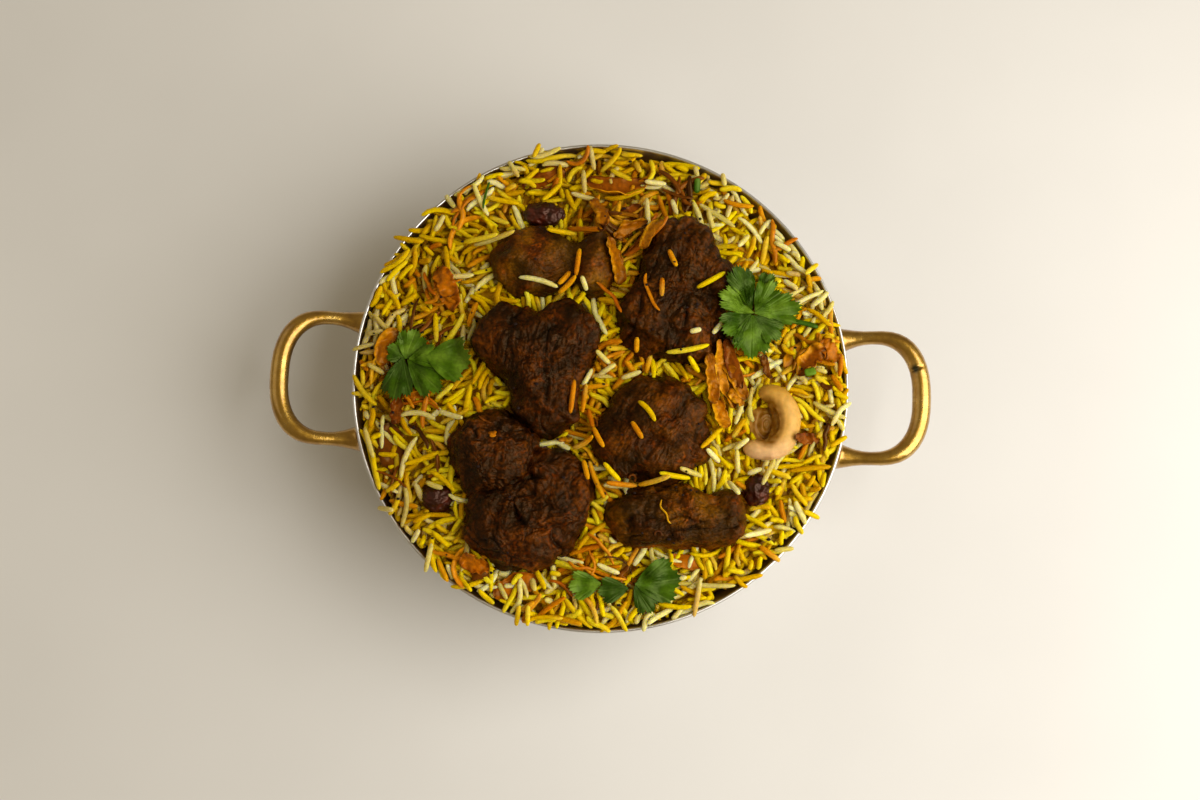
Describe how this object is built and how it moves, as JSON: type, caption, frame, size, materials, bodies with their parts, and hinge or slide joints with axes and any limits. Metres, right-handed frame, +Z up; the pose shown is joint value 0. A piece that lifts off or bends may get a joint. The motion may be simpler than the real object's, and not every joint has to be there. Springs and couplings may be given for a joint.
{
  "type": "biryani in a two-handled pan",
  "caption": "Saffron rice biryani with browned meat, fried onion, raisins, a cashew and coriander, heaped in a steel pan with brass handles.",
  "frame": {"origin": "under the middle of the pan's flat base, on the surface it stands on", "axes": "+Z up, +X through the right handle, +Y away from the diner"},
  "size_m": [0.2366, 0.175, 0.074],
  "materials": {
    "stainless_steel": "satin stainless steel, spun, with a bright rim edge",
    "cast_brass": "cast brass, worn smooth and slightly tarnished",
    "saffron_rice": "cooked long-grain rice, mostly saffron yellow, with white and orange grains, lightly oiled",
    "browned_meat": "dark browned, fibrous, lightly oiled roast meat",
    "fried_cashew": "fried cashew nut, pale golden tan",
    "raisin_skin": "wrinkled, glossy dark red-brown fried raisin",
    "fried_onion": "translucent amber to dark brown fried onion",
    "coriander_leaf": "fresh green coriander leaf, softly waxy"
  },
  "bodies": {
    "root": {"cashew": "fried_cashew", "coriander_front_left": "coriander_leaf", "coriander_front_right": "coriander_leaf", "coriander_left": "coriander_leaf", "coriander_right": "coriander_leaf", "handle_left": "cast_brass", "handle_right": "cast_brass", "meat_1": "browned_meat", "meat_2": "browned_meat", "meat_3": "browned_meat", "meat_4": "browned_meat", "meat_5": "browned_meat", "meat_6": "browned_meat", "meat_7": "browned_meat", "onion_1": "fried_onion", "onion_10": "fried_onion", "onion_11": "fried_onion", "onion_2": "fried_onion", "onion_3": "fried_onion", "onion_4": "fried_onion", "onion_5": "fried_onion", "onion_6": "fried_onion", "onion_7": "fried_onion", "onion_8": "fried_onion", "onion_9": "fried_onion", "pan": "stainless_steel", "raisin_1": "raisin_skin", "raisin_2": "raisin_skin", "raisin_3": "raisin_skin", "rice": "saffron_rice", "rivet_left_back": "cast_brass", "rivet_left_front": "cast_brass", "rivet_right_back": "cast_brass", "rivet_right_front": "cast_brass"}
  },
  "joints": []
}
